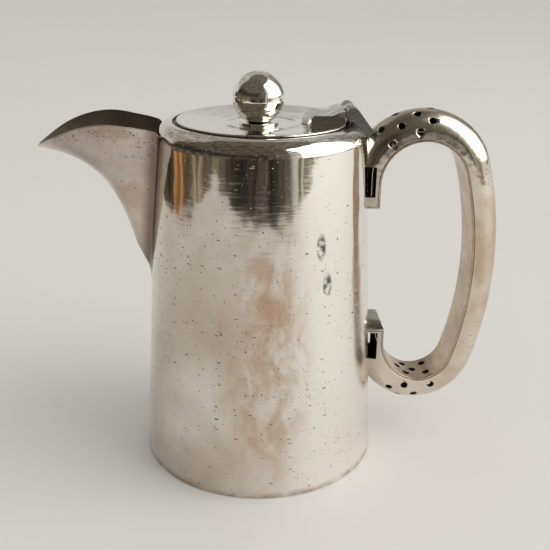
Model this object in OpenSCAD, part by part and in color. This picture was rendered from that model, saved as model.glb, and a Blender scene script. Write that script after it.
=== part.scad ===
// Silver-plated coffee pot: tapered round body, open beak spout, vented hollow handle and
// a hinged dished lid with a ball finial. The shapes are in millimetres. +Z is up, the
// origin is the centre of the base, the spout points to -X and the handle to +X.

/* [Body] */
// Outer radius where the body stands on the table
base_r = 47; // [45:0.5:49]
// Outer radius where the straight wall meets the shoulder
shoulder_r = 40.1; // [39:0.1:41]
// Height where the straight wall meets the shoulder
shoulder_z = 129.1; // [126:0.1:132]
// Radius of the rounded shoulder
shoulder_round = 7; // [6:0.5:8]
// Radius of the round mouth inside the rim
mouth_r = 33.4; // [33.3:0.1:34]
// Thickness of the body wall
wall = 1.2; // [0.8:0.1:1.5]
// Height of the base plate's underside above the table
base_recess = 1.5; // [1:0.5:3]

/* [Strainer] */
// Diameter of each strainer hole in the wall behind the spout
strainer_d = 2.6; // [2:0.1:3]
// Spacing of the strainer holes
strainer_pitch = 4.4; // [4:0.1:5]

/* [Spout] */
// Distance of the spout's tip from the body axis
spout_reach = 84; // [80:0.5:88]
// Height of the spout's tip
tip_z = 126.2; // [124:0.2:128]
// Height where the keel of the spout leaves the body
keel_z = 74; // [70:1:78]
// Half width of the spout's open top at its widest
spout_half_w = 16.6; // [15:0.2:18]
// Half width of the spout's open top where it meets the body
spout_root_w = 12.8; // [11:0.2:14]
// Thickness of the spout's sheet
spout_sheet = 1.1; // [0.9:0.1:1.3]

/* [Handle] */
// Width of the handle across the pot
handle_w = 16; // [14:0.5:18]
// Depth of the handle from its flat inner face to its round back
handle_depth = 11.5; // [10.5:0.1:12.5]
// Thickness of the handle's sheet
handle_sheet = 0.9; // [0.7:0.1:1.1]
// Distance of the upper foot's inner face from the body axis
upper_foot_x = 45.5; // [45:0.1:46.5]
// Height of the upper foot's lower end
upper_foot_z = 104; // [102:0.5:106]
// Length of the straight run of the upper foot
upper_foot_run = 8.5; // [6:0.5:10]
// Diameter of the vent holes
vent_d = 2.6; // [2:0.1:3]

/* [Lid] */
// Radius of the lid
lid_r = 32.2; // [31.6:0.1:32.4]
// Height of the lid's upper edge
lid_top_z = 136.4; // [136:0.1:137]
// Thickness of the lid plate
lid_plate_t = 1.3; // [1:0.1:1.5]
// Depth of the dish in the middle of the lid
dish_depth = 2; // [1:0.1:2.5]
// How far the closed lid sits towards the hinge
lid_shift = 0.3; // [0:0.1:0.4]

/* [Finial] */
// Radius of the ball
ball_r = 9.85; // [9:0.05:10.5]
// Height of the ball's centre
ball_z = 144.2; // [143.8:0.1:145]
// Offset of the finial from the body axis, towards the spout
finial_x = -1.2; // [-2:0.1:0]

/* [Hinge] */
// Distance of the hinge axis from the body axis
hinge_x = 33.4; // [33.2:0.1:33.8]
// Height of the hinge axis
hinge_z = 139.2; // [139.1:0.1:139.5]
// Radius of the hinge knuckles
knuckle_r = 2.6; // [2.4:0.1:2.6]
// Width of the whole hinge
hinge_w = 17.6; // [15:0.2:19]
// Width of the middle knuckle
middle_w = 5.8; // [4:0.2:7]
// Radius of the hinge pin
pin_r = 0.8; // [0.7:0.05:1]

/* [Hidden] */
$fn = 96;

silver = "silver";
tarnished = "dimgray";
far = 200;      // longer than anything it cuts
gap = 0.3;      // clearance between parts that move past each other

// ---- Body ----
wall_slope = atan((base_r - shoulder_r) / shoulder_z);
round_x = shoulder_r - shoulder_round * cos(wall_slope);
round_z = shoulder_z - shoulder_round * sin(wall_slope);
rim_z = round_z + shoulder_round;

// Radius of the outer surface at height z, on the straight wall and on the shoulder
function body_r(z) =
    z < shoulder_z ? base_r - z * tan(wall_slope)
                   : round_x + sqrt(pow(shoulder_round, 2) - pow(min(z, rim_z) - round_z, 2));

// Right half of the pot's section, with its outer surface moved inwards by skin
module pot_half(skin, bottom) {
    r = shoulder_round - skin;
    low_r = base_r - skin / cos(wall_slope) - bottom * tan(wall_slope);
    polygon([[0, bottom], [low_r, bottom],
             [round_x + r * cos(wall_slope), round_z + r * sin(wall_slope)],
             [round_x, round_z + r], [0, round_z + r]]);
    intersection() {
        translate([round_x, round_z]) circle(r);
        square([far, far]);
    }
}

module pot_solid() {
    rotate_extrude() pot_half(0, 0);
}

// Half width of the spout where it meets the body at height z
function root_w(z) = spout_root_w * section_w((z - keel_z) / (edge_z - keel_z));

// Staggered rows of holes through the wall, kept inside the outline of the spout's root
strainer_rows = [0 : 5];
strainer_low_z = 96;
strainer_rise = 5;
strainer_reach = 15;     // through the wall on the spout's side only
strainer_margin = spout_sheet + strainer_d / 2 + 0.3;
module strainer_holes() {
    for (row = strainer_rows, k = [-2 : 2]) {
        y = (k + (row % 2 == 0 ? 0.5 : 0)) * strainer_pitch;
        z = strainer_low_z + row * strainer_rise;
        if (abs(y) <= root_w(z) - strainer_margin)
            translate([-base_r, y, z]) rotate([0, 90, 0]) cylinder(h = strainer_reach, d = strainer_d);
    }
}

module body_shell() color(silver) difference() {
    rotate_extrude() difference() {
        pot_half(0, 0);
        pot_half(wall, -1);
        square([mouth_r, far]);
    }
    strainer_holes();
}

base_plate_t = 1.2;
function inner_r(z) = base_r - wall / cos(wall_slope) - z * tan(wall_slope);
module base_plate() color(silver)
    translate([0, 0, base_recess])
        cylinder(h = base_plate_t, r1 = inner_r(base_recess), r2 = inner_r(base_recess + base_plate_t));

// Flange under the rim that the lid rests on, with a turned-down edge
seat_z = lid_top_z - lid_plate_t - 0.2;
seat_t = 1;
seat_r = 30.6;
seat_lip_depth = 3;
seat_lip_t = 0.8;
module mouth_ring() color(tarnished) rotate_extrude() {
    translate([seat_r, seat_z - seat_t]) square([mouth_r - seat_r, seat_t]);
    translate([seat_r, seat_z - seat_lip_depth]) square([seat_lip_t, seat_lip_depth]);
}

// ---- Spout ----
// The spout is an open trough. Both its keel and its top edges are cubic curves from the
// body to the tip, in distance from the axis and height.
keel_curve = [[body_r(keel_z), keel_z], [52.5, 91], [50, 122.5], [spout_reach, tip_z - 0.5]];
edge_z = 132;
edge_curve = [[38, edge_z], [55.5, 139.5], [66, 138], [spout_reach, tip_z]];
spout_stations = 28;
spout_steps = 14;
spout_end_t = 0.985;     // the curves run together at 1, so the sheet stops just before
tip_w = 0.6;

function cubic(c, t) = pow(1 - t, 3) * c[0] + 3 * pow(1 - t, 2) * t * c[1]
                     + 3 * (1 - t) * t * t * c[2] + t * t * t * c[3];
// Half width of the open top, full over the middle and drawn in to a flat beak at the tip
function edge_w(t) =
    let (open_w = spout_root_w + (spout_half_w - spout_root_w) * sin(min(90, 180 * t)))
    tip_w + (open_w - tip_w) * pow(1 - pow(t, 13), 1.5);
// Half width of the section as a share of edge_w, from the keel at h = 0 to the edge at h = 1
function section_w(h) = pow(h, 0.62);

// A point of the outer skin (depth = 0) or of the inner skin (depth = spout_sheet)
function spout_point(t, h, side, depth) =
    let (k = cubic(keel_curve, t), e = cubic(edge_curve, t),
         slim = depth * (1 - pow(t, 8)),
         y = max(0, edge_w(t) - slim) * section_w(h),
         x = k.x + (e.x - k.x) * h + slim * 0.55 * (1 - h) * (0.5 - t),
         z = k.y + (e.y - k.y) * h + slim * 1.3 * (1 - h),
         on_body = sqrt(max(1, pow(body_r(z), 2) - y * y)) + 0.05,
         blend = pow(max(0, 1 - 4 * t), 2))
    [-(x + (on_body - x) * (t < 0.25 ? blend : 0)), side * y, z];

// Share of the way up the section at step j, with the steps closer at the keel and the edge
function step_h(j) = (1 - cos(180 * j / spout_steps)) / 2;

// One loop of points round the section at station t: outer skin down, then inner skin back
function section_loop(t) = concat(
    [for (j = [spout_steps : -1 : 0]) spout_point(t, step_h(j), -1, 0)],
    [for (j = [1 : spout_steps]) spout_point(t, step_h(j), 1, 0)],
    [for (j = [spout_steps : -1 : 0]) spout_point(t, step_h(j), 1, spout_sheet)],
    [for (j = [1 : spout_steps]) spout_point(t, step_h(j), -1, spout_sheet)]);

module loft(loops) {
    n = len(loops[0]);
    rows = len(loops);
    half = n / 2;
    points = [for (l = loops, q = l) q];
    sides = [for (i = [0 : rows - 2], j = [0 : n - 1])
        let (a = i * n + j, b = i * n + (j + 1) % n) each [[a, b, b + n], [a, b + n, a + n]]];
    // The end faces are strips between the outer and the inner skin
    caps = [for (j = [0 : half - 2], end = [0, 1])
        let (base = end * (rows - 1) * n, a = base + j, b = a + 1,
             c = base + n - 2 - j, d = c + 1)
        each end == 0 ? [[a, d, c], [a, c, b]] : [[a, c, d], [a, b, c]]];
    polyhedron(points, concat(sides, caps));
}

module spout() color(silver)
    loft([for (i = [0 : spout_stations]) section_loop(spout_end_t * sin(90 * i / spout_stations))]);

// ---- Handle ----
// The flat inner face runs up a straight foot, round five bends and up a second straight
// foot. Each bend is its radius on the flat face. The directions between the bends come
// from 7-24-25 and 3-4-5 triangles, so that neighbouring bends meet face to face.
bend_r = [16.5, 16.5, 139.5, 13, 18.5];
direction = [[0, 1], [1, 0], [0.28, -0.96], [-0.28, -0.96], [-0.8, 0.6], [0, 1]];
side_depth = handle_depth - handle_w / 2;
bends = [0 : len(bend_r) - 1];

// Unit vector away from the bend's centre, where bend i starts
function outward(i) = [-direction[i].y, direction[i].x];
function bend_start(i) = i == 0 ? [upper_foot_x, upper_foot_z + upper_foot_run]
                                : bend_centre(i - 1) + bend_r[i - 1] * outward(i);
function bend_centre(i) = bend_start(i) - bend_r[i] * outward(i);
lower_foot = bend_start(len(bend_r));

// Full section: flat face on x = 0, straight sides, round back, smaller by skin
module handle_outline(skin) {
    half = handle_w / 2 - skin;
    translate([skin, -half]) square([side_depth - skin, 2 * half]);
    intersection() {
        translate([side_depth, 0]) circle(half);
        translate([side_depth, -half]) square([far, 2 * half]);
    }
}

module handle_shell_section() difference() {
    handle_outline(0);
    handle_outline(handle_sheet);
    translate([0, -handle_w / 2]) square([handle_sheet, handle_w]);
}

module handle_strip_section()
    translate([0, -handle_w / 2]) square([handle_sheet, handle_w]);

// Sweeps the section that is its child along the whole handle
module along_handle(low_z, high_z) {
    translate([upper_foot_x, 0, low_z]) linear_extrude(upper_foot_z + upper_foot_run - low_z)
        mirror([1, 0]) children();
    for (i = bends) {
        c = bend_centre(i);
        wedge = [[0, 0], far * outward(i), far * (outward(i) + outward(i + 1)), far * outward(i + 1)];
        intersection() {
            translate([c.x, 0, c.y]) rotate([90, 0, 0]) rotate_extrude()
                translate([bend_r[i], 0]) children();
            translate([c.x, 0, c.y]) rotate([90, 0, 0])
                linear_extrude(2 * handle_w, center = true) polygon(wedge);
        }
    }
    translate([lower_foot.x, 0, lower_foot.y]) linear_extrude(high_z - lower_foot.y)
        mirror([1, 0]) children();
}

// Places its child at an angle round a bend: x points from the bend's centre to the handle
module at_bend(i, angle) {
    c = bend_centre(i);
    translate([c.x, 0, c.y]) rotate([0, -angle, 0]) translate([bend_r[i], 0, 0]) children();
}

// A vent hole through one side of the shell, at an elevation from the side to the round back
module shell_vent(i, angle, elevation, side) at_bend(i, angle)
    translate([side_depth, 0, 0]) rotate([0, 0, side * (90 - elevation)]) rotate([0, 90, 0])
        cylinder(h = handle_w, d = vent_d);

module strip_vent(i, angle, y) at_bend(i, angle)
    translate([-1, y, 0]) rotate([0, 90, 0]) cylinder(h = 3, d = vent_d);

// Vent holes, as [bend, angle round the bend]: wide columns have a low and a high hole on
// each side and two in the strip, narrow columns have one on each side and one in the back
wide_columns = [[0, 130], [0, 98], [3, 290], [3, 252]];
narrow_columns = [[0, 114], [1, 86], [3, 268], [3, 237]];
low_elevation = 4;
middle_elevation = 34;
high_elevation = 58;
strip_vent_y = 4;

module shell_vents() {
    for (c = wide_columns, side = [-1, 1], elevation = [low_elevation, high_elevation])
        shell_vent(c[0], c[1], elevation, side);
    for (c = narrow_columns) {
        for (side = [-1, 1]) shell_vent(c[0], c[1], middle_elevation, side);
        shell_vent(c[0], c[1], 90, 1);
    }
}

module strip_vents() {
    for (c = wide_columns, side = [-1, 1]) strip_vent(c[0], c[1], side * strip_vent_y);
    for (c = narrow_columns) strip_vent(c[0], c[1], 0);
}

// Upright slots in the feet beside the body, as [inner x, outer x, low z, high z]. The upper foot
// has one in its -Y side, and the lower foot is slotted right through.
upper_slot = [39.6, 43.4, 107.6, 119.4];
lower_slot = [43.4, 47.6, 38.8, 50.6];
module foot_slot(s, high_y)
    translate([s[0], -far, s[2]]) cube([s[1] - s[0], far + high_y, s[3] - s[2]]);

cap_round = 4.2;
lower_cap_z = 55.4;
cap_start_z = lower_cap_z - cap_round;

module handle_outer_shell() color(silver) difference() {
    along_handle(upper_foot_z, cap_start_z) handle_shell_section();
    pot_solid();
    shell_vents();
    foot_slot(upper_slot, 0);
    foot_slot(lower_slot, far);
}

module handle_inner_strip() color(silver) difference() {
    along_handle(upper_foot_z, cap_start_z) handle_strip_section();
    strip_vents();
}

module handle_upper_end_plate() color(silver) difference() {
    translate([upper_foot_x, 0, upper_foot_z - handle_sheet]) linear_extrude(handle_sheet)
        mirror([1, 0]) handle_outline(0);
    pot_solid();
}

// Rounded block that fills the top of the lower foot, smaller by skin
module lower_cap_block(skin) {
    r = cap_round - skin;
    intersection() {
        translate([lower_foot.x, 0, cap_start_z]) linear_extrude(r)
            mirror([1, 0]) handle_outline(skin);
        translate([lower_foot.x - cap_round, 0, cap_start_z]) rotate([90, 0, 0])
            linear_extrude(far, center = true) {
                circle(r);
                translate([-far, 0]) square([far, r]);
            }
    }
}

module handle_lower_end_cap() color(silver) difference() {
    lower_cap_block(0);
    lower_cap_block(handle_sheet);
    pot_solid();
}

// ---- Hinge ----
bracket_slope = 37;      // direction of the bracket's upper face from the axis
bracket_reach = [41.4, 133];
bracket_tail = [39.4, 131.4];
bracket_back_x = mouth_r + 0.1;
pin_fit = 0.05;
pin_overhang = 0.3;
outer_knuckle_w = (hinge_w - middle_w) / 2 - gap;

module along_y(width) rotate([90, 0, 0]) linear_extrude(width, center = true) children();

module knuckle(y, width, r) translate([hinge_x, y, hinge_z])
    rotate([90, 0, 0]) cylinder(h = width, r = r, center = true);

module hinge_bracket() color(tarnished) difference() {
    union() {
        along_y(hinge_w) polygon([[bracket_back_x, rim_z - 2], [bracket_back_x, hinge_z],
            [hinge_x, hinge_z],
            [hinge_x + knuckle_r * cos(bracket_slope), hinge_z + knuckle_r * sin(bracket_slope)],
            bracket_reach, bracket_tail]);
        for (side = [-1, 1])
            knuckle(side * (hinge_w - outer_knuckle_w) / 2, outer_knuckle_w, knuckle_r);
    }
    pot_solid();
    knuckle(0, middle_w + 2 * gap, knuckle_r + gap);
    knuckle(0, hinge_w + 1, pin_r);
}

module hinge_pin() color(tarnished) knuckle(0, hinge_w + 2 * pin_overhang, pin_r);

// The leaf's top is flat from its bevelled tip, then ramps up to the knuckle
leaf_tip_x = 15.3;
leaf_shoulder_x = 18.4;
leaf_bevel = 0.6;
leaf_ramp_x = [25.4, 28.3];
leaf_end_x = hinge_x - knuckle_r - gap;
leaf_tip_z = lid_top_z - 0.4;
leaf_z = lid_top_z + 2.5;
leaf_ramp_z = lid_top_z + 3.7;
leaf_high_z = lid_top_z + 4.2;
leaf_foot_mid_x = 23;
neck_low_z = lid_top_z + 0.4;
neck_half = knuckle_r * 0.6;

module leaf_plan() {
    sag = leaf_shoulder_x - leaf_tip_x;
    arc_r = (pow(hinge_w / 2, 2) + sag * sag) / (2 * sag);
    translate([leaf_shoulder_x, -hinge_w / 2]) square([leaf_end_x - leaf_shoulder_x, hinge_w]);
    intersection() {
        translate([leaf_tip_x + arc_r, 0]) circle(arc_r);
        translate([leaf_tip_x, -hinge_w / 2]) square([leaf_shoulder_x - leaf_tip_x + 0.5, hinge_w]);
    }
}

// Height of the dished lid under the leaf's long sides
function leaf_foot_z(x) = dish_z(min(dish_r, norm([x - lid_shift, hinge_w / 2])));

module hinge_lid_leaf() color(tarnished) difference() {
    union() {
        intersection() {
            translate([0, 0, lid_top_z - 2]) linear_extrude(8) leaf_plan();
            along_y(hinge_w + 1) polygon([[leaf_tip_x, leaf_foot_z(leaf_tip_x)],
                [leaf_tip_x, leaf_tip_z], [leaf_shoulder_x + leaf_bevel, leaf_z],
                [leaf_ramp_x[0], leaf_z], [leaf_ramp_x[1], leaf_ramp_z], [leaf_end_x, leaf_high_z],
                [leaf_end_x, leaf_foot_z(leaf_end_x)],
                [leaf_foot_mid_x, leaf_foot_z(leaf_foot_mid_x)]]);
        }
        along_y(middle_w) polygon([[leaf_end_x - 0.5, neck_low_z], [leaf_end_x - 0.5, leaf_high_z],
            [hinge_x, hinge_z + neck_half], [hinge_x, hinge_z - neck_half]]);
        knuckle(0, middle_w, knuckle_r);
    }
    knuckle(0, middle_w + 1, pin_r + pin_fit);
}

// ---- Lid ----
dish_r = lid_r - 0.8;
under_dish_r = 29;
ripple_r = 13.5;
ripple_round = 1.4;
ripple_height = 0.35;
stud_r = 1.5;
stud_fit = 0.05;

function sphere_for(r, depth) = (r * r + depth * depth) / (2 * depth);
function dish_z(r) = let (s = sphere_for(dish_r, dish_depth))
    lid_top_z - dish_depth + s - sqrt(s * s - r * r);

module lid_half() {
    top_s = sphere_for(dish_r, dish_depth);
    under_s = sphere_for(under_dish_r, dish_depth);
    under_z = lid_top_z - lid_plate_t;
    difference() {
        union() {
            translate([0, under_z]) square([lid_r, lid_plate_t]);
            intersection() {
                translate([0, under_z - dish_depth + under_s]) circle(under_s, $fn = 720);
                translate([0, under_z - dish_depth]) square([under_dish_r, dish_depth + 0.5]);
            }
        }
        translate([0, lid_top_z - dish_depth + top_s]) circle(top_s, $fn = 720);
    }
    intersection() {
        translate([ripple_r, dish_z(ripple_r) + ripple_height - ripple_round]) circle(ripple_round);
        translate([0, dish_z(ripple_r) - 0.5]) square([far, far]);
    }
}

module lid_solid() translate([lid_shift, 0, 0]) rotate_extrude() lid_half();

module lid_plate() color(silver) difference() {
    lid_solid();
    translate([finial_x, 0, lid_top_z - 6]) cylinder(h = 12, r = stud_r + stud_fit);
}

skirt_depth = 5.5;
skirt_t = 0.9;
module lid_skirt() color(tarnished) translate([lid_shift, 0, lid_top_z - lid_plate_t - skirt_depth])
    rotate_extrude() translate([under_dish_r, 0]) square([skirt_t, skirt_depth]);

// ---- Finial ----
collar_r = 7.7;
collar_t = 0.8;
collar_bevel = 0.5;
collar_z = dish_z(collar_r + lid_shift - finial_x);
stud_low_z = 129.4;
stud_high_z = ball_z - 2;
washer_t = 0.7;
washer_r = 4.5;
nut_t = 2.2;
nut_r = 3.6;
washer_z = lid_top_z - lid_plate_t - dish_depth - washer_t;

module at_finial(z) translate([finial_x, 0, z]) children();

module finial_collar() color(silver) at_finial(collar_z) difference() {
    cylinder(h = collar_t, r1 = collar_r, r2 = collar_r - collar_bevel);
    translate([0, 0, -1]) cylinder(h = 4, r = stud_r);
}

module finial_ball() color(silver) difference() {
    at_finial(ball_z) sphere(ball_r);
    at_finial(0) cylinder(h = collar_z + collar_t, r = far);
    at_finial(0) cylinder(h = stud_high_z, r = stud_r);
}

module finial_stud() color(tarnished)
    at_finial(stud_low_z) cylinder(h = stud_high_z - stud_low_z, r = stud_r);

module finial_washer() color(tarnished) at_finial(washer_z) difference() {
    cylinder(h = washer_t, r = washer_r);
    translate([0, 0, -1]) cylinder(h = 4, r = stud_r);
}

module finial_nut() color(tarnished) at_finial(washer_z - nut_t) difference() {
    cylinder(h = nut_t, r = nut_r, $fn = 6);
    translate([0, 0, -1]) cylinder(h = 5, r = stud_r);
}

body_shell();
base_plate();
mouth_ring();
spout();
handle_outer_shell();
handle_inner_strip();
handle_upper_end_plate();
handle_lower_end_cap();
hinge_bracket();
hinge_pin();
hinge_lid_leaf();
lid_plate();
lid_skirt();
finial_collar();
finial_ball();
finial_stud();
finial_washer();
finial_nut();
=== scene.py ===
"""Silver-plated coffee pot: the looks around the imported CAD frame. Lengths are in millimetres
until a mesh is made, and every shape is worked out in the CAD frame: +Z up, spout to -X."""
import math

import bmesh
import bpy
from mathutils import Matrix, Vector, noise
from mathutils.bvhtree import BVHTree
from mathutils.interpolate import poly_3d_calc


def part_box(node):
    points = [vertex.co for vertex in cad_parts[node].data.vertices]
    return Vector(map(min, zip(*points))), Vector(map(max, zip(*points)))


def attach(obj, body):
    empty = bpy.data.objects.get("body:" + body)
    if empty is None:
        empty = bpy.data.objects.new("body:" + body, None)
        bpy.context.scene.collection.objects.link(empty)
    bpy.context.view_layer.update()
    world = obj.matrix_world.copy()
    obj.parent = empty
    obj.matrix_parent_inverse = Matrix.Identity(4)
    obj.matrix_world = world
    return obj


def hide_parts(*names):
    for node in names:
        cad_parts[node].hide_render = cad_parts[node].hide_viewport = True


MM = 0.001
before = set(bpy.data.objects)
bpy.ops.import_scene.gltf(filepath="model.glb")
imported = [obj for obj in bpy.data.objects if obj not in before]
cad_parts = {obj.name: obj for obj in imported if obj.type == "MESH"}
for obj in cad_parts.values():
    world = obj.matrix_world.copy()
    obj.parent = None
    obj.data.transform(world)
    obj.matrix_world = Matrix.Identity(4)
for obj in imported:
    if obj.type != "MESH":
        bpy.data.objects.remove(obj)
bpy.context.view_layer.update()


def cad_span(node):
    """Lowest and highest corners of a CAD node, in millimetres."""
    low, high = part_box(node)
    return low / MM, high / MM


# ---------------------------------------------------------------- driving sizes
# Tapered wall and its rounded shoulder. The spout's seam follows the shoulder on SEAM_ROUND.
_, BODY_HIGH = cad_span("body_shell")
BASE_R = BODY_HIGH.x
RIM_Z = BODY_HIGH.z
SHOULDER_R, SHOULDER_Z, SHOULDER_ROUND = 40.1, 129.1, 6.5
SEAM_ROUND = 7.0
WALL_SLOPE = math.atan((BASE_R - SHOULDER_R) / SHOULDER_Z)
MOUTH_R = 33.4
WALL = 1.2
# Unevenness of the wall, as its size and depth
WAVE_SIZE, WAVE_DEPTH = 17, 0.035
# Dents on the front right of the wall, as (x, y, z, depth), and the dark reflections painted in them
DENTS = ((19.5, -36.5, 97.5, 0.30), (22.0, -35.5, 83.0, 0.30))
DENT_R = 2.6
DENT_REFLECTION_HALF_W, DENT_REFLECTION_HALF_H = 2.2, 5.0
# Strainer behind the spout
STRAINER_ROWS, STRAINER_Z = 6, 96
STRAINER_PITCH_Y, STRAINER_PITCH_Z, STRAINER_HOLE_R = 4.4, 5, 1.3

# Spout: its lowest point, its tip, and its half-widths at the root, the middle and the tip. Along
# it, t runs from 0 at the wall to 1 at the tip. The sheet starts and ends at the t values below,
# and a fillet fills the corner at the wall.
KEEL_Z = 74.0
SPOUT_REACH, SPOUT_TIP_Z = 84.0, 126.2
SPOUT_ROOT_W, SPOUT_HALF_W, SPOUT_TIP_W = 12.8, 16.6, 0.6
SPOUT_SHEET = 1.1
SPOUT_START_T, SPOUT_END_T = 0.075, 0.985
FILLET, FILLET_RINGS = 2.6, 6

# Handle: its section, the upper foot as (x, z, run), and the bends' radii and directions between
HANDLE_W, HANDLE_DEPTH, HANDLE_SHEET = 16.0, 11.5, 0.9
HANDLE_SIDE = HANDLE_DEPTH - HANDLE_W / 2
UPPER_FOOT = (45.5, 104.0, 8.5)
BEND_R = (16.5, 16.5, 139.5, 13.0, 18.5)
DIRECTIONS = ((0, 1), (1, 0), (0.28, -0.96), (-0.28, -0.96), (-0.8, 0.6), (0, 1))
OUTWARD = [Vector((-z, x)) for x, z in DIRECTIONS]
# Vents stand in columns across the handle, each at a bend and an angle round it
VENT_D = 2.6
WIDE_COLUMNS = ((0, 130), (0, 98), (3, 290), (3, 252))
NARROW_COLUMNS = ((0, 114), (1, 86), (3, 268), (3, 237))
# Slots in the feet, as corners of a box. The upper one is cut in the near side only.
UPPER_SLOT = ((39.6, -20, 107.6), (43.4, 0, 119.4))
LOWER_SLOT = ((43.4, -20, 38.8), (47.6, 20, 50.6))
# How far the lower foot's cap draws in at its top, along X and Y
CAP_DOME_X, CAP_DOME_Y = 2.4, 3.0

LID_LOW, LID_HIGH = cad_span("lid_plate")
LID_R = (LID_HIGH.x - LID_LOW.x) / 2
LID_X = (LID_HIGH.x + LID_LOW.x) / 2
LID_TOP_Z = LID_HIGH.z
LID_PLATE_T = 1.3
LID_HOLE_R = 1.6
LID_UNDER_R = 29
DISH_DEPTH = 2.0
# Ripple round the finial, as (height, radius, width) of a ring and of the groove outside it
RIPPLE = ((0.34, 13.5, 0.95), (-0.12, 15.8, 1.1))
BALL_LOW, BALL_HIGH = cad_span("finial_ball")
BALL_R = 9.85
FINIAL_X = (BALL_HIGH.x + BALL_LOW.x) / 2
BALL_Z = BALL_HIGH.z - BALL_R
STUD_HOLE_R = 1.55


def body_r(z):
    """Outer radius of the straight wall at height z."""
    return BASE_R - z * math.tan(WALL_SLOPE)


# ---------------------------------------------------------------- outlines and meshes
def turned(direction, angle):
    """Direction turned anticlockwise."""
    c, s = math.cos(angle), math.sin(angle)
    return Vector((c * direction.x - s * direction.y, s * direction.x + c * direction.y))


def rounded(corners, steps=6, run=None):
    """Closed anticlockwise outline through corners (x, z, radius), as (point, outward normal).
    With run, the straight stretches get points about that far apart."""
    result = []
    count = len(corners)
    for i in range(count):
        here = Vector(corners[i][:2])
        before = (here - Vector(corners[i - 1][:2])).normalized()
        after = (Vector(corners[(i + 1) % count][:2]) - here).normalized()
        angle = math.atan2(before.x * after.y - before.y * after.x, before.dot(after))
        radius = corners[i][2]
        start = here - before * radius * math.tan(abs(angle) / 2)
        side = math.copysign(1, angle)
        centre = start + Vector((-before.y, before.x)) * side * radius
        if result and run:
            last, normal = result[-1]
            pieces = max(1, round((start - last).length / run))
            result += [(last.lerp(start, k / pieces), normal) for k in range(1, pieces)]
        arc_steps = max(1, round(steps * max(1, radius ** 0.5)))
        for k in range(arc_steps + 1):
            way = turned(before, angle * k / arc_steps)
            normal = Vector((way.y, -way.x))
            result.append((centre + normal * side * radius, normal))
    return result


def new_object(name, vertices, faces, normals=None):
    """Mesh object from vertices in millimetres, smooth, with its own vertex normals."""
    mesh = bpy.data.meshes.new(name)
    mesh.from_pydata([Vector(v) * MM for v in vertices], [], faces)
    mesh.polygons.foreach_set("use_smooth", [True] * len(mesh.polygons))
    if normals:
        mesh.normals_split_custom_set_from_vertices([Vector(n).normalized() for n in normals])
    mesh.update()
    thing = bpy.data.objects.new(name, mesh)
    bpy.context.scene.collection.objects.link(thing)
    return thing


def relief_at(relief, point, normal):
    """Point pushed along its normal by relief(point), and the normal that it has then."""
    step = 0.2
    height = relief(point)
    slope = Vector([relief(point + Vector(axis) * step) - height for axis in Matrix.Identity(3)]) / step
    slope -= normal * slope.dot(normal)
    return point + normal * height, (normal - slope).normalized()


def lathe(name, outline, segments=256, centre=(0, 0), relief=None):
    """Solid of revolution about an upright axis through centre."""
    vertices, normals = [], []
    for s in range(segments):
        a = 2 * math.pi * s / segments
        c, d = math.cos(a), math.sin(a)
        for p, n in outline:
            point = Vector((centre[0] + p.x * c, centre[1] + p.x * d, p.y))
            normal = Vector((n.x * c, n.x * d, n.y))
            if relief:
                point, normal = relief_at(relief, point, normal)
            vertices.append(point)
            normals.append(normal)
    rows = len(outline)
    faces = []
    for s in range(segments):
        t = (s + 1) % segments
        for k in range(rows):
            m = (k + 1) % rows
            faces.append((s * rows + k, t * rows + k, t * rows + m, s * rows + m))
    return new_object(name, vertices, faces, normals)


def applied(thing):
    """Replaces an object's mesh by the result of its modifiers."""
    graph = bpy.context.evaluated_depsgraph_get()
    mesh = bpy.data.meshes.new_from_object(thing.evaluated_get(graph))
    thing.modifiers.clear()
    thing.data = mesh


def soften(thing, width, angle):
    """Rounds the edges that turn by more than angle degrees, by width millimetres."""
    soft = thing.modifiers.new("soft_edge", "BEVEL")
    soft.width = width * MM
    soft.segments = 3
    soft.limit_method = "ANGLE"
    soft.angle_limit = math.radians(angle)
    soft.harden_normals = True


def joined(name, things):
    """One object in place of several."""
    mesh = bmesh.new()
    for thing in things:
        mesh.from_mesh(thing.data)
        bpy.data.objects.remove(thing, do_unlink=True)
    result = new_object(name, [], [])
    mesh.to_mesh(result.data)
    mesh.free()
    return result


def subtract(thing, tool):
    """Takes tool out of thing. The cut faces keep the tool's material."""
    modifier = thing.modifiers.new("cut", "BOOLEAN")
    modifier.operation = "DIFFERENCE"
    modifier.solver = "EXACT"
    modifier.material_mode = "TRANSFER"
    modifier.object = tool
    applied(thing)
    bpy.data.objects.remove(tool, do_unlink=True)


def cut(thing, tools, wall):
    """Cuts tools out of thing. The cut faces get the material wall, and the rest keeps the
    smooth normals that it had before."""
    points = [v.co.copy() for v in thing.data.vertices]
    polygons = [tuple(p.vertices) for p in thing.data.polygons]
    tree = BVHTree.FromPolygons(points, polygons)
    smooth = [Vector()] * len(points)
    for loop, normal in zip(thing.data.loops, thing.data.corner_normals):
        smooth[loop.vertex_index] = normal.vector.copy()
    tool = joined("tool", tools)
    tool.data.materials.append(wall)
    subtract(thing, tool)
    mesh = thing.data
    wall_index = list(mesh.materials).index(wall)
    known = {}
    normals = [None] * len(mesh.loops)
    for polygon in mesh.polygons:
        flat = polygon.normal
        for k in polygon.loop_indices:
            normals[k] = flat
            if polygon.material_index == wall_index:
                continue
            v = mesh.loops[k].vertex_index
            if v not in known:
                place, _, index, _ = tree.find_nearest(mesh.vertices[v].co)
                ring = polygons[index]
                shares = poly_3d_calc([points[q] for q in ring], place)
                known[v] = sum((smooth[q] * w for q, w in zip(ring, shares)), Vector()).normalized()
            if known[v].dot(flat) > 0.6:
                normals[k] = known[v]
    mesh.normals_split_custom_set(normals)


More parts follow.
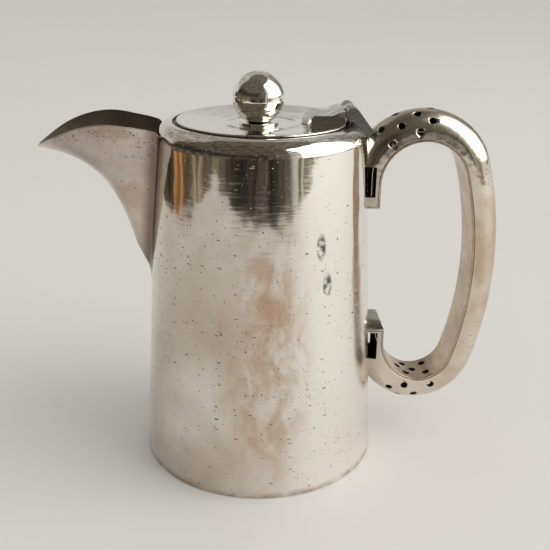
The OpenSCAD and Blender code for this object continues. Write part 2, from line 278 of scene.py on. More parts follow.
def drill(at, direction, length, radius, flare=0.25):
    """Cutter for one hole that starts outside the surface point at, flared at the surface."""
    outline = [Vector((radius, -length)), Vector((radius, -flare)), Vector((radius + flare, 0)),
               Vector((radius + 3 * flare, 2 * flare))]
    segments = 32
    vertices = [(p.x * math.cos(a), p.x * math.sin(a), p.y) for p in outline
                for a in [2 * math.pi * s / segments for s in range(segments)]]
    faces = [tuple(reversed(range(segments)))]
    for k in range(len(outline) - 1):
        faces += [(k * segments + s, k * segments + (s + 1) % segments,
                   (k + 1) * segments + (s + 1) % segments, (k + 1) * segments + s)
                  for s in range(segments)]
    top = (len(outline) - 1) * segments
    faces.append(tuple(range(top, top + segments)))
    tool = new_object("drill", vertices, faces)
    turn = Vector(direction).to_track_quat("Z", "Y").to_matrix().to_4x4()
    tool.data.transform(Matrix.Translation(Vector(at) * MM) @ turn)
    return tool


def block(low, high):
    """Cutter box between two corners."""
    xs, ys, zs = zip(low, high)
    vertices = [(x, y, z) for x in xs for y in ys for z in zs]
    faces = [(0, 1, 3, 2), (4, 6, 7, 5), (0, 4, 5, 1), (2, 3, 7, 6), (0, 2, 6, 4), (1, 5, 7, 3)]
    return new_object("block", vertices, faces)


# ---------------------------------------------------------------- materials
# Lengths in the materials are in metres, as the shader nodes give them. The other numbers are
# shares, pattern sizes to the metre and limits of a ramp.
MEAN_R = (BASE_R + SHOULDER_R) / 2 * MM


class Nodes:
    """Short names for the shader nodes that a material or a world is built from."""

    def __init__(self, owner):
        owner.use_nodes = True
        self.owner = owner
        self.tree = owner.node_tree

    def add(self, kind, **settings):
        node = self.tree.nodes.new(kind)
        for key, value in settings.items():
            setattr(node, key, value)
        return node

    def plug(self, value, socket):
        if isinstance(value, bpy.types.NodeSocket):
            self.tree.links.new(value, socket)
        else:
            socket.default_value = value

    def math(self, operation, a, b=0.0, c=0.0):
        node = self.add("ShaderNodeMath", operation=operation)
        for value, socket in zip((a, b, c), node.inputs):
            self.plug(value, socket)
        return node.outputs[0]

    def times(self, a, b):
        return self.math("MULTIPLY", a, b)

    def plus(self, a, b):
        return self.math("ADD", a, b)

    def ramp(self, value, low, high, start=0.0, end=1.0):
        """Value eased from low..high to start..end."""
        node = self.add("ShaderNodeMapRange", interpolation_type="SMOOTHSTEP")
        for v, socket in zip((value, low, high, start, end), node.inputs):
            self.plug(v, socket)
        return node.outputs[0]

    def noise(self, vector, scale, detail=4.0, roughness=0.55, distortion=0.0, output="Fac"):
        node = self.add("ShaderNodeTexNoise")
        self.plug(vector, node.inputs["Vector"])
        node.inputs["Scale"].default_value = scale
        node.inputs["Detail"].default_value = detail
        node.inputs["Roughness"].default_value = roughness
        node.inputs["Distortion"].default_value = distortion
        return node.outputs[output]

    def cells(self, vector, scale, dimensions="3D"):
        node = self.add("ShaderNodeTexVoronoi", voronoi_dimensions=dimensions)
        self.plug(vector, node.inputs["Vector"])
        node.inputs["Scale"].default_value = scale
        return node.outputs["Distance"], node.outputs["Color"]

    def mix(self, share, a, b):
        node = self.add("ShaderNodeMix", data_type="RGBA")
        self.plug(share, node.inputs[0])
        self.plug(a, node.inputs[6])
        self.plug(b, node.inputs[7])
        return node.outputs[2]

    def place(self):
        return self.add("ShaderNodeTexCoord").outputs["Object"]

    def stretched(self, vector, scale):
        node = self.add("ShaderNodeMapping")
        self.plug(vector, node.inputs["Vector"])
        node.inputs["Scale"].default_value = scale
        return node.outputs["Vector"]

    def split(self, vector):
        node = self.add("ShaderNodeSeparateXYZ")
        self.plug(vector, node.inputs[0])
        return node.outputs

    def join(self, x, y, z):
        node = self.add("ShaderNodeCombineXYZ")
        for value, socket in zip((x, y, z), node.inputs):
            self.plug(value, socket)
        return node.outputs[0]

    def round_pot(self):
        """Place on the turned wall: distance round it and height, in metres."""
        x, y, z = self.split(self.place())
        return self.times(self.math("ARCTAN2", y, x), MEAN_R), z

    def attribute(self, name):
        node = self.add("ShaderNodeAttribute", attribute_name=name)
        return node.outputs["Fac"]

    def bump(self, height, distance, under=None):
        node = self.add("ShaderNodeBump")
        self.plug(height, node.inputs["Height"])
        node.inputs["Distance"].default_value = distance
        if under is not None:
            self.plug(under, node.inputs["Normal"])
        return node.outputs["Normal"]

    def finish(self, color, roughness, normal=None, metallic=1.0):
        """The material, with these in its shader."""
        shader = self.tree.nodes["Principled BSDF"]
        self.plug(color, shader.inputs["Base Color"])
        self.plug(roughness, shader.inputs["Roughness"])
        self.plug(metallic, shader.inputs["Metallic"])
        if normal is not None:
            self.plug(normal, shader.inputs["Normal"])
        return self.owner


def rgb(r, g, b):
    return (r, g, b, 1.0)


SILVER = rgb(0.92, 0.90, 0.85)
BROWN = rgb(0.33, 0.25, 0.18)
BLACKENED = rgb(0.045, 0.04, 0.035)


def flecks(n, vector, scale, share, size, flat=False):
    """Mask of small ragged marks: 1 in a mark and 0 outside. share of the cells hold one, and
    size is the largest mark's radius in cells. A flat pattern lies in the vector's XY plane."""
    ragged = n.add("ShaderNodeVectorMath", operation="MULTIPLY_ADD")
    n.plug(n.noise(vector, scale * 9, output="Color"), ragged.inputs[0])
    ragged.inputs[1].default_value = (0.12 / scale,) * 3
    n.plug(vector, ragged.inputs[2])
    distance, tint = n.cells(ragged.outputs[0], scale, "2D" if flat else "3D")
    pick = n.split(tint)
    chosen = n.math("LESS_THAN", pick[0], share)
    reach = n.times(n.plus(n.times(pick[1], 0.7), 0.3), size)
    return n.times(chosen, n.math("LESS_THAN", distance, reach))


# Small marks in the wall's surface, as (stretch of the pattern, cells to the metre, share of
# the cells that hold one, radius in cells). A stretch below 1 draws the marks out.
WALL_MARKS = (
    ((0.35, 1.3, 1), 430, 0.28, 0.13),
    ((0.40, 1.7, 1), 170, 0.17, 0.07),
    ((1.1, 0.6, 1), 300, 0.15, 0.09),
    ((1, 1, 1), 620, 0.24, 0.16),
)


def spot(n, along, half_along, up, half_up):
    """Squared distance from the middle of an oval spot: 1 on its edge."""
    along = n.math("DIVIDE", along, half_along)
    up = n.math("DIVIDE", up, half_up)
    return n.plus(n.times(along, along), n.times(up, up))


def wall_marks(n, wall, z):
    """Mask of the flecks that run round the wall, with fewer of them near the shoulder."""
    crowd = n.ramp(n.noise(wall, 38, 3, 0.5), 0.35, 0.60, 0.25, 1.0)
    crowd = n.times(crowd, n.ramp(z, 0.125, 0.085, 0.45, 1.0))
    marks = 0.0
    for stretch, scale, share, size in WALL_MARKS:
        some = flecks(n, n.stretched(wall, stretch), scale, n.times(crowd, share), size, True)
        marks = n.math("MAXIMUM", marks, some)
    return marks


def dent_painted_reflection(n, wall, around, z, dent):
    """Mask of the broken dark patch painted in a dent: a painted reflection of dark surroundings."""
    x, y, height, _ = dent
    along = n.math("SUBTRACT", around, math.atan2(y, x) * MEAN_R)
    up = n.math("SUBTRACT", z, height * MM)
    near = spot(n, along, DENT_REFLECTION_HALF_W * MM, up, DENT_REFLECTION_HALF_H * MM)
    return n.times(n.ramp(near, 1.3, 0.3), n.ramp(n.noise(wall, 260, 4, 0.6), 0.34, 0.56))


def silver_body():
    """Polished silver plate on a turned wall: a grey film, heaviest on the front-left, where it is
    also a painted reflection of the shaded table; a coppery stain on the front, dark flecks, painted
    dark reflections in the dents, hairline scratches and a haze that thickens downwards."""
    n = Nodes(bpy.data.materials.new("silver_body"))
    around, z = n.round_pot()
    wall = n.join(around, z, 0.0)
    front = -0.5 * math.pi * MEAN_R
    # The film is heaviest in a band on the front-left: a painted reflection of the shaded table, over the
    # real film
    film_and_reflection_band = n.ramp(n.math("ABSOLUTE", n.math("SUBTRACT", around, front - 0.030)), 0.048, 0.012)
    film = n.ramp(n.noise(wall, 26, 6, 0.6), 0.25, 0.75)
    cover = n.times(n.plus(n.times(film_and_reflection_band, 0.85), 0.12), n.plus(n.times(film, 0.7), 0.3))
    color = n.mix(cover, SILVER, rgb(0.54, 0.465, 0.375))
    away = spot(n, n.math("SUBTRACT", around, front), 0.013, n.math("SUBTRACT", z, 0.060), 0.044)
    cloud = n.noise(n.stretched(wall, (1.0, 0.6, 1)), 95, 8, 0.65, 0.4)
    stain = n.times(n.ramp(away, 2.4, 0.0), n.ramp(cloud, 0.36, 0.64))
    color = n.mix(n.times(stain, 0.95), color, rgb(0.56, 0.39, 0.26))
    marks = wall_marks(n, wall, z)
    faint = n.ramp(n.noise(wall, 330, 2), 0.38, 0.62, 0.2, 0.95)
    color = n.mix(n.times(marks, faint), color, rgb(0.09, 0.075, 0.06))
    for dent in DENTS:
        # Painted dark reflection in each dent
        color = n.mix(dent_painted_reflection(n, wall, around, z, dent), color, rgb(0.10, 0.115, 0.10))
    edge = n.times(n.ramp(z, 0.0035, 0.0003), n.ramp(n.noise(wall, 140, 3), 0.35, 0.6))
    color = n.mix(n.times(edge, 0.7), color, BROWN)
    hairs = n.noise(n.stretched(wall, (0.12, 1.0, 1)), 900, 2, 0.5)
    haze = n.ramp(z, 0.122, 0.060, 0.0, 1.0)
    rough = n.plus(n.times(haze, 0.14), 0.06)
    rough = n.plus(rough, n.times(n.ramp(hairs, 0.5, 0.8), 0.10))
    rough = n.plus(rough, n.times(marks, 0.35))
    wave = n.noise(n.stretched(wall, (1.0, 0.45, 1)), 75, 2, 0.5)
    normal = n.bump(wave, 0.00035)
    normal = n.bump(n.times(marks, -1.0), 0.00008, normal)
    normal = n.bump(hairs, 0.000007, normal)
    return n.finish(color, rough, normal)


def silver_lid():
    """Polished silver plate on the lid: fine scratches in all directions."""
    n = Nodes(bpy.data.materials.new("silver_lid"))
    place = n.place()
    film = n.ramp(n.noise(place, 40, 5, 0.6), 0.4, 0.75)
    color = n.mix(n.times(film, 0.3), SILVER, rgb(0.74, 0.69, 0.60))
    specks = flecks(n, place, 620, 0.25, 0.17, True)
    color = n.mix(specks, color, rgb(0.16, 0.14, 0.12))
    hairs = n.noise(n.stretched(place, (0.15, 1.0, 0.5)), 900, 2, 0.5)
    cross = n.noise(n.stretched(place, (1.0, 0.2, 0.5)), 800, 2, 0.5)
    scratch = n.math("MAXIMUM", n.ramp(hairs, 0.62, 0.8), n.ramp(cross, 0.64, 0.8))
    rough = n.plus(n.times(film, 0.06), 0.05)
    rough = n.plus(rough, n.times(scratch, 0.16))
    normal = n.bump(n.noise(place, 60, 2, 0.5), 0.00025)
    normal = n.bump(scratch, 0.000015, normal)
    return n.finish(color, rough, normal)


def silver_ball():
    """Brightly polished silver plate on the ball, with a thin film and a few specks."""
    n = Nodes(bpy.data.materials.new("silver_ball"))
    place = n.place()
    film = n.ramp(n.noise(place, 90, 5, 0.6), 0.45, 0.75)
    color = n.mix(n.times(film, 0.35), SILVER, rgb(0.70, 0.63, 0.52))
    specks = flecks(n, place, 800, 0.18, 0.2)
    color = n.mix(specks, color, rgb(0.16, 0.13, 0.11))
    rough = n.plus(n.times(film, 0.05), 0.035)
    normal = n.bump(n.noise(place, 110, 2, 0.5), 0.0002)
    return n.finish(color, rough, normal)


def silver_handle():
    """Silver plate on the handle, tan where it isn't rubbed, with clusters of small pits, a painted
    dark reflection on the top of the arch and painted shade on the upper foot by the body.
    """
    n = Nodes(bpy.data.materials.new("silver_handle"))
    place = n.place()
    x, _, z = n.split(place)
    film = n.ramp(n.noise(place, 60, 6, 0.6, 0.4), 0.35, 0.7)
    grip = n.times(n.ramp(x, 0.066, 0.080), n.ramp(z, 0.125, 0.105))
    warm = n.times(n.plus(n.times(film, 0.7), 0.3), n.plus(n.times(grip, 0.5), 0.35))
    color = n.mix(warm, rgb(0.80, 0.75, 0.67), rgb(0.56, 0.43, 0.30))
    # Painted dark reflection, in blotches, on the top of the arch
    arch_painted_reflection = n.times(n.ramp(z, 0.112, 0.130), n.ramp(n.noise(place, 95, 5, 0.65), 0.38, 0.62))
    color = n.mix(n.times(arch_painted_reflection, 0.35), color, rgb(0.42, 0.38, 0.30))
    # Painted shade on the upper foot, where it meets the body
    foot = n.times(n.ramp(x, 0.053, 0.046), n.ramp(z, 0.125, 0.100))
    color = n.mix(n.times(foot, 0.5), color, rgb(0.36, 0.31, 0.26))
    patch = n.ramp(n.noise(place, 70, 3, 0.5), 0.56, 0.66)
    pits = n.times(flecks(n, place, 1100, 0.8, 0.34), patch)
    specks = flecks(n, place, 500, 0.30, 0.16)
    marks = n.math("MAXIMUM", pits, specks)
    color = n.mix(n.times(marks, 0.85), color, rgb(0.15, 0.12, 0.09))
    hairs = n.noise(n.stretched(place, (1.0, 1.0, 0.15)), 800, 2, 0.5)
    dull_arch = n.ramp(z, 0.120, 0.134, 0.0, 0.12)
    rough = n.plus(n.times(film, 0.12), n.plus(dull_arch, 0.07))
    rough = n.plus(rough, n.times(n.ramp(hairs, 0.55, 0.8), 0.12))
    rough = n.plus(rough, n.times(marks, 0.3))
    normal = n.bump(n.noise(place, 130, 2, 0.5), 0.0002)
    normal = n.bump(n.times(marks, -1.0), 0.0001, normal)
    return n.finish(color, rough, normal)


def silver_spout():
    """Outside of the spout: warm taupe tarnish, brighter along the middle, spotted near the edge,
    and dark brown at the body's wall: tarnish in the seam with painted shade and reflection of the
    corner."""
    n = Nodes(bpy.data.materials.new("silver_spout"))
    place = n.place()
    film = n.ramp(n.noise(place, 45, 6, 0.62, 0.5), 0.3, 0.7)
    color = n.mix(film, rgb(0.76, 0.69, 0.62), rgb(0.52, 0.42, 0.35))
    cloud = n.ramp(n.noise(place, 24, 3, 0.5, 0.6), 0.50, 0.68)
    color = n.mix(n.times(cloud, 0.45), color, rgb(0.40, 0.36, 0.36))
    x, y, z = n.split(place)
    wall_r = n.math("SUBTRACT", BASE_R * MM, n.times(z, math.tan(WALL_SLOPE)))
    radius = n.math("POWER", n.plus(n.times(x, x), n.times(y, y)), 0.5)
    # Dark brown by the body's wall: tarnish in the seam, and painted shade and reflection of the corner
    seam = n.ramp(n.math("SUBTRACT", radius, wall_r), 0.0060, 0.0010)
    color = n.mix(n.times(seam, 0.85), color, rgb(0.17, 0.12, 0.10))
    across = n.attribute("edge")
    rim = n.times(n.ramp(across, 0.84, 0.97), n.ramp(n.noise(place, 160, 4), 0.40, 0.62))
    color = n.mix(n.times(rim, 0.55), color, rgb(0.34, 0.26, 0.20))
    edge_specks = n.times(flecks(n, place, 900, 0.7, 0.3), n.ramp(across, 0.80, 0.95))
    specks = n.math("MAXIMUM", flecks(n, place, 420, 0.30, 0.16), edge_specks)
    color = n.mix(n.times(specks, 0.85), color, rgb(0.14, 0.11, 0.09))
    hairs = n.noise(n.stretched(place, (0.2, 1.0, 1.0)), 800, 2, 0.5)
    rough = n.plus(n.times(film, 0.10), 0.15)
    rough = n.plus(rough, n.times(n.ramp(hairs, 0.55, 0.8), 0.10))
    normal = n.bump(n.noise(place, 90, 2, 0.5), 0.0003)
    normal = n.bump(n.times(specks, -1.0), 0.00008, normal)
    return n.finish(color, rough, normal)


def stained(name, low, high, rough_low, rough_high, scale=120):
    """Plate in blotches between two colours: tarnish where no cloth reaches, and painted shade inside the
    handle.
    """
    n = Nodes(bpy.data.materials.new(name))
    place = n.place()
    blotch = n.ramp(n.noise(place, scale, 6, 0.65, 0.6), 0.3, 0.7)
    color = n.mix(blotch, low, high)
    grains = flecks(n, place, 1100, 0.5, 0.3)
    color = n.mix(n.times(grains, 0.5), color, BLACKENED)
    rough = n.ramp(blotch, 0.0, 1.0, rough_low, rough_high)
    normal = n.bump(n.noise(place, 700, 4, 0.6), 0.00006)
    return n.finish(color, rough, normal)


def pale_floor():
    """Matt pale floor. Mirror reflections see only the part of it that a table would cover."""
    n = Nodes(bpy.data.materials.new("pale_floor"))
    place = n.place()
    x, y, _ = n.split(place)
    color = n.mix(n.noise(place, 3, 3), rgb(0.80, 0.785, 0.765), rgb(0.83, 0.815, 0.795))
    near = n.math("LESS_THAN", y, TABLE_NEAR)
    left_edge = n.plus(n.times(y, TABLE_LEFT_SLANT), TABLE_LEFT)
    left = n.times(n.math("LESS_THAN", x, left_edge), n.math("LESS_THAN", y, TABLE_FAR))
    mirrored = n.add("ShaderNodeLightPath").outputs["Is Glossy Ray"]
    gone = n.times(n.math("MAXIMUM", near, left), mirrored)
    blend = n.add("ShaderNodeMixShader")
    n.plug(gone, blend.inputs[0])
    n.plug(n.tree.nodes["Principled BSDF"].outputs[0], blend.inputs[1])
    n.plug(n.add("ShaderNodeBsdfTransparent").outputs[0], blend.inputs[2])
    n.plug(blend.outputs[0], n.tree.nodes["Material Output"].inputs["Surface"])
    return n.finish(color, 0.6, metallic=0.0)


# ---------------------------------------------------------------- camera, light and stage
# The table that the silver mirrors, in metres: its near edge, its left edge at y = 0 and the
# slant of that edge, and how far back it goes
TABLE_NEAR, TABLE_LEFT, TABLE_LEFT_SLANT, TABLE_FAR = -0.54, -0.50, 0.29, 0.9


def make_camera():
    """The viewpoint of a person who stands at the table: 0.37 m away, looking down 21 degrees,
    with the pot turned by 3 degrees."""
    back, height, lens, sensor = 318.8, 196.5, 55.64, 36.0
    down, pan, roll = math.radians(21.107), math.radians(1.065), math.radians(0.853)
    pot_turn = math.radians(3.0)
    forward = Vector((math.sin(pan) * math.cos(down), math.cos(pan) * math.cos(down), -math.sin(down)))
    right = Vector((math.cos(pan), -math.sin(pan), 0))
    up = right.cross(forward)
    x_axis = math.cos(roll) * right + math.sin(roll) * up
    y_axis = -math.sin(roll) * right + math.cos(roll) * up
    turn = Matrix.Rotation(-pot_turn, 3, "Z")
    axes = Matrix([turn @ x_axis, turn @ y_axis, turn @ -forward]).transposed()
    data = bpy.data.cameras.new("camera")
    data.sensor_width = sensor
    data.lens = lens
    camera = bpy.data.objects.new("camera", data)
    bpy.context.scene.collection.objects.link(camera)
    place = turn @ Vector((0, -back, height)) * MM
    camera.matrix_world = Matrix.Translation(place) @ axes.to_4x4()
    bpy.context.scene.camera = camera


def make_key_light():
    """Soft light to the right of the camera's side and above it."""
    azimuth, elevation, distance, size = math.radians(70), math.radians(40), 2.0, 1.6
    data = bpy.data.lights.new("key", "AREA")
    data.shape = "RECTANGLE"
    data.size = data.size_y = size
    data.energy = 14.0
    data.color = (1.0, 0.99, 0.97)
    light = bpy.data.objects.new("key", data)
    bpy.context.scene.collection.objects.link(light)
    away = Vector((math.sin(azimuth) * math.cos(elevation), -math.cos(azimuth) * math.cos(elevation),
                   math.sin(elevation)))
    light.location = Vector((0, 0, 0.08)) + away * distance
    light.rotation_euler = away.to_track_quat("Z", "Y").to_euler()
    light.visible_camera = False


PALE = rgb(0.60, 0.585, 0.565)
# What the silver mirrors, as (azimuth low, high, elevation low, high, softness, colour), in
# degrees. Azimuth 0 is the camera's side of the pot and 90 is the handle's side. From -400 to
# 400 is all round, and up to 120 takes in the zenith. Later entries lie over earlier ones.
SURROUNDINGS = (
    (-400, 400, 14, 80, 12, rgb(0.41, 0.395, 0.37)),
    (-400, 400, 54, 120, 5, rgb(0.155, 0.135, 0.108)),
    (-116, 34, -50, 120, 8, rgb(0.115, 0.098, 0.078)),
    (-118, 12, 2, 34, 14, rgb(0.040, 0.036, 0.030)),
    (-128, -108, -40, 10, 3, rgb(0.06, 0.05, 0.035)),
    (-106, -86, -40, -6, 2, rgb(0.42, 0.22, 0.09)),
    (-82, -64, -40, -3, 3, rgb(0.27, 0.23, 0.16)),
    (-56, -44, -40, 0, 4, rgb(0.20, 0.18, 0.11)),
    (-40, 24, -40, 6, 9, rgb(0.045, 0.036, 0.030)),
    (-8, 4, -40, 0, 3, rgb(0.11, 0.09, 0.08)),
    (32, 60, -40, 8, 4, rgb(0.40, 0.36, 0.27)),
    (62, 90, -40, 8, 3, rgb(0.75, 0.72, 0.62)),
    (94, 114, -60, 8, 5, rgb(0.21, 0.18, 0.155)),
    (118, 150, -5, 45, 8, rgb(0.20, 0.18, 0.16)),
    (38, 116, 0, 62, 6, rgb(2.2, 2.15, 2.05)),
)
# Colours below this are streaked, like things in a dim room
DIM = 0.5


def make_world():
    """Pale, even surroundings, and on the camera's side a dim room with a tall window to the
    right, which only the silver shows."""
    world = bpy.data.worlds.new("studio")
    bpy.context.scene.world = world
    n = Nodes(world)
    sky = n.tree.nodes["Background"]
    direction = n.add("ShaderNodeTexCoord").outputs["Generated"]
    x, y, z = n.split(direction)
    azimuth = n.times(n.math("ARCTAN2", x, n.times(y, -1.0)), math.degrees(1))
    elevation = n.times(n.math("ARCSINE", z), math.degrees(1))
    streaks = n.ramp(n.noise(n.stretched(direction, (9, 9, 2)), 1.6, 4, 0.65, 0.5), 0.34, 0.66, 0.35, 1.6)
    color = PALE
    for az_low, az_high, el_low, el_high, soft, paint in SURROUNDINGS:
        inside = [n.ramp(azimuth, az_low, az_low + soft), n.ramp(azimuth, az_high, az_high - soft),
                  n.ramp(elevation, el_low, el_low + soft), n.ramp(elevation, el_high, el_high - soft)]
        share = n.times(n.times(inside[0], inside[1]), n.times(inside[2], inside[3]))
        if max(paint[:3]) < DIM:
            scaled = n.add("ShaderNodeVectorMath", operation="SCALE")
            scaled.inputs[0].default_value = paint[:3]
            n.plug(streaks, scaled.inputs["Scale"])
            paint = scaled.outputs[0]
        color = n.mix(share, color, paint)
    path = n.add("ShaderNodeLightPath")
    plain = n.math("MAXIMUM", path.outputs["Is Camera Ray"], path.outputs["Is Diffuse Ray"])
    n.plug(n.mix(plain, color, PALE), sky.inputs["Color"])


def make_stage():
    """Wide pale floor that the pot stands on."""
    reach = 4.0 / MM
    corners = [(-reach, -reach, 0), (reach, -reach, 0), (reach, reach, 0), (-reach, reach, 0)]
    floor = new_object("floor", corners, [(0, 1, 2, 3)])
    floor.data.materials.append(pale_floor())


# ---------------------------------------------------------------- body
def dents(point):
    """Height of the wall's surface over its outline: hand-made unevenness, and the dents, which
    are tall ovals that lean towards +X downwards."""
    wave = noise.noise(Vector((point.x, point.y, point.z * 0.6)) / WAVE_SIZE) * WAVE_DEPTH
    for x, y, z, depth in DENTS:
        apart = point - Vector((x, y, z))
        away = Vector((apart.x + apart.z * 0.3, apart.y, apart.z * 0.45)).length / DENT_R
        if away < 3:
            wave -= depth * math.exp(-away * away)
    return wave


def strainer():
    """The holes of the strainer behind the spout, as cutters: staggered rows, as far out as the
    spout covers them."""
    tools = []
    margin = 1.6
    for row in range(STRAINER_ROWS):
        for k in range(-2, 3):
            y = (k + (0.5 if row % 2 == 0 else 0)) * STRAINER_PITCH_Y
            z = STRAINER_Z + row * STRAINER_PITCH_Z
            inside = SPOUT_ROOT_W * section_w((z - KEEL_Z) / (EDGE_CURVE[0][1] - KEEL_Z))
            if abs(y) <= inside - SPOUT_SHEET - margin:
                at = (-math.sqrt(body_r(z) ** 2 - y * y), y, z)
                tools.append(drill(at, (-1, 0, 0), 6, STRAINER_HOLE_R, 0.15))
    return tools


def make_body(silver, inside):
    """Turned wall, open at the bottom, with the strainer's holes."""
    slope = math.tan(WALL_SLOPE)
    skin = WALL / math.cos(WALL_SLOPE)
    top_in = RIM_Z - WALL
    outline = rounded([(BASE_R, 0, 0.45), (BASE_R - RIM_Z * slope, RIM_Z, SHOULDER_ROUND),
                       (MOUTH_R, RIM_Z, 0.15), (MOUTH_R, top_in, 0.15),
                       (BASE_R - skin - top_in * slope, top_in, SHOULDER_ROUND - WALL),
                       (BASE_R - skin, 0, 0.3)], run=1.6)
    body = lathe("body", outline, 320, relief=dents)
    body.data.materials.append(silver)
    body.data.materials.append(inside)
    for polygon in body.data.polygons:
        c = polygon.center / MM
        if Vector((polygon.normal.x, polygon.normal.y)).dot(Vector((c.x, c.y))) < 0 and c.z < RIM_Z - 0.5:
            polygon.material_index = 1
    cut(body, strainer(), inside)
    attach(body, "pot")
    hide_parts("body_shell")


# ---------------------------------------------------------------- spout
# Bezier curves in the middle plane, as (distance from the axis, height), from the body to the
# tip: the spout's underside and its upper edge
KEEL_CURVE = ((body_r(KEEL_Z), KEEL_Z), (52.5, 91), (50, 122.5), (SPOUT_REACH, SPOUT_TIP_Z - 0.5))
EDGE_CURVE = ((38, 132), (55.5, 139.5), (66, 138), (SPOUT_REACH, SPOUT_TIP_Z))


def cubic(curve, t):
    """Point on a cubic Bezier curve."""
    a, b, c, d = [Vector(p) for p in curve]
    return (1 - t) ** 3 * a + 3 * (1 - t) ** 2 * t * b + 3 * (1 - t) * t * t * c + t ** 3 * d


def edge_w(t):
    """Half-width between the upper edges: it opens from the root, then closes to the tip."""
    open_w = SPOUT_ROOT_W + (SPOUT_HALF_W - SPOUT_ROOT_W) * math.sin(min(math.pi / 2, math.pi * t))
    return SPOUT_TIP_W + (open_w - SPOUT_TIP_W) * (1 - t ** 13) ** 1.5


def section_w(h):
    """Share of the half-width at a share h of the way up from the keel to the edge."""
    return max(0.0, h) ** 0.62


def outer_radius(z):
    """Radius of the body's outer surface, with the shoulder."""
    if z < SHOULDER_Z:
        return body_r(z)
    centre_r = SHOULDER_R - SEAM_ROUND * math.cos(WALL_SLOPE)
    centre_z = SHOULDER_Z - SEAM_ROUND * math.sin(WALL_SLOPE)
    return centre_r + math.sqrt(max(0.0, SEAM_ROUND ** 2 - (min(z, RIM_Z) - centre_z) ** 2))


def spout_point(t, q):
    """Outer skin of the spout: t from the body to the tip, q from -1 to 1 across. Near t = 0 it
    is drawn onto the body's wall."""
    h = abs(q) ** 1.6
    keel, edge = cubic(KEEL_CURVE, t), cubic(EDGE_CURVE, t)
    p = keel.lerp(edge, h)
    y = edge_w(t) * section_w(h)
    on_body = math.sqrt(max(1, outer_radius(p.y) ** 2 - y * y)) + 0.05
    blend = max(0.0, 1 - 4 * t) ** 2
    return Vector((-(p.x + (on_body - p.x) * blend), math.copysign(y, q), p.y))


def fillet_point(u, q):
    """Outer skin of the soldered fillet: u from the body's wall to the sheet, q across."""
    seam, sheet = spout_point(0, q), spout_point(SPOUT_START_T, q)
    along = spout_point(0, min(1, q + 0.01)) - spout_point(0, max(-1, q - 0.01))
    radial = Vector((seam.x, seam.y, 0)).normalized()
    start = seam + radial.cross(along).normalized() * FILLET
    fit = (outer_radius(start.z) + 0.02) / math.hypot(start.x, start.y)
    start = Vector((start.x * fit, start.y * fit, start.z))
    return (1 - u) ** 2 * start + 2 * u * (1 - u) * seam + u * u * sheet


def make_spout(silver, inside):
    """One curved sheet with a soldered fillet where it meets the body."""
    across = [math.sin(math.pi / 2 * k / 40) for k in range(-40, 41)]
    length_t = SPOUT_END_T - SPOUT_START_T
    stations = [SPOUT_START_T + length_t * math.sin(math.pi / 2 * k / 90) for k in range(91)]
    rings = [[fillet_point(k / FILLET_RINGS, q) for q in across] for k in range(FILLET_RINGS)]
    rings += [[spout_point(t, q) for q in across] for t in stations]
    width = len(across)
    vertices = [p for ring in rings for p in ring]
    faces = [(i * width + j, (i + 1) * width + j, (i + 1) * width + j + 1, i * width + j + 1)
             for i in range(len(rings) - 1) for j in range(width - 1)]
    spout = new_object("spout_sheet", vertices, faces)
    spout.data.materials.append(silver)
    spout.data.materials.append(inside)
    edge = spout.data.attributes.new("edge", "FLOAT", "POINT")
    edge.data.foreach_set("value", [abs(q) for _ in rings for q in across])
    thin = spout.vertex_groups.new(name="thickness")
    for i in range(len(rings)):
        t = stations[max(0, i - FILLET_RINGS)]
        weight = max(0.3, 1 - t ** 8) * (0.35 + 0.65 * min(1, i / FILLET_RINGS))
        thin.add(range(i * width, (i + 1) * width), weight, "REPLACE")
    solid = spout.modifiers.new("solid", "SOLIDIFY")
    solid.thickness = SPOUT_SHEET * MM
    solid.offset = -1
    solid.vertex_group = "thickness"
    solid.material_offset = 1
    solid.material_offset_rim = 0
    soften(spout, 0.28, 50)
    applied(spout)
    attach(spout, "pot")
    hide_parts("spout")


# ---------------------------------------------------------------- handle
def bend_centres():
    """Centres of the handle's bends, as (x, z), and the point where the last bend ends."""
    x, z, run = UPPER_FOOT
    here = Vector((x, z + run))
    centres = []
    for radius, out, out_next in zip(BEND_R, OUTWARD, OUTWARD[1:]):
        centres.append(here - radius * out)
        here = centres[-1] + radius * out_next
    return centres, here


def handle_path():
    """Points along the flat inner face, as (x, z), each with the outward direction."""
    x, z, run = UPPER_FOOT
    path = [(Vector((x, z + run * k / 4)), OUTWARD[0]) for k in range(4)]
    centres, end = bend_centres()
    for centre, radius, out, out_next in zip(centres, BEND_R, OUTWARD, OUTWARD[1:]):
        angle = out.angle_signed(out_next)
        steps = max(8, round(abs(angle) * max(radius, 20) / 1.2))
        for k in range(steps):
            way = turned(out, -angle * k / steps)
            path.append((centre + radius * way, way))
    foot = Vector((end.x, cad_span("handle_lower_end_cap")[0].z))
    return path + [(end.lerp(foot, k / 6), OUTWARD[-1]) for k in range(7)]


def sweep(name, outline, path, hidden=()):
    """Closed outline (a, y), with a outward from the flat face, swept along a path. The faces
    from the outline points in hidden get the second material."""
    vertices, normals = [], []
    for point, out in path:
        for p, n in outline:
            place = point + out * p.x
            vertices.append(Vector((place.x, p.y, place.y)))
            normals.append(Vector((out.x * n.x, n.y, out.y * n.x)))
    size, rows = len(outline), len(path)
    faces = [(i * size + j, (i + 1) * size + j, (i + 1) * size + (j + 1) % size, i * size + (j + 1) % size)
             for i in range(rows - 1) for j in range(size)]
    faces.append(tuple(range(size)))
    faces.append(tuple(reversed(range((rows - 1) * size, rows * size))))
    thing = new_object(name, vertices, faces, normals)
    for polygon in thing.data.polygons[:-2]:
        polygon.material_index = 1 if polygon.index % size in hidden else 0
    loop_normals = [c.vector.copy() for c in thing.data.corner_normals]
    for end in thing.data.polygons[-2:]:
        for k in end.loop_indices:
            loop_normals[k] = end.normal
    thing.data.normals_split_custom_set(loop_normals)
    return thing


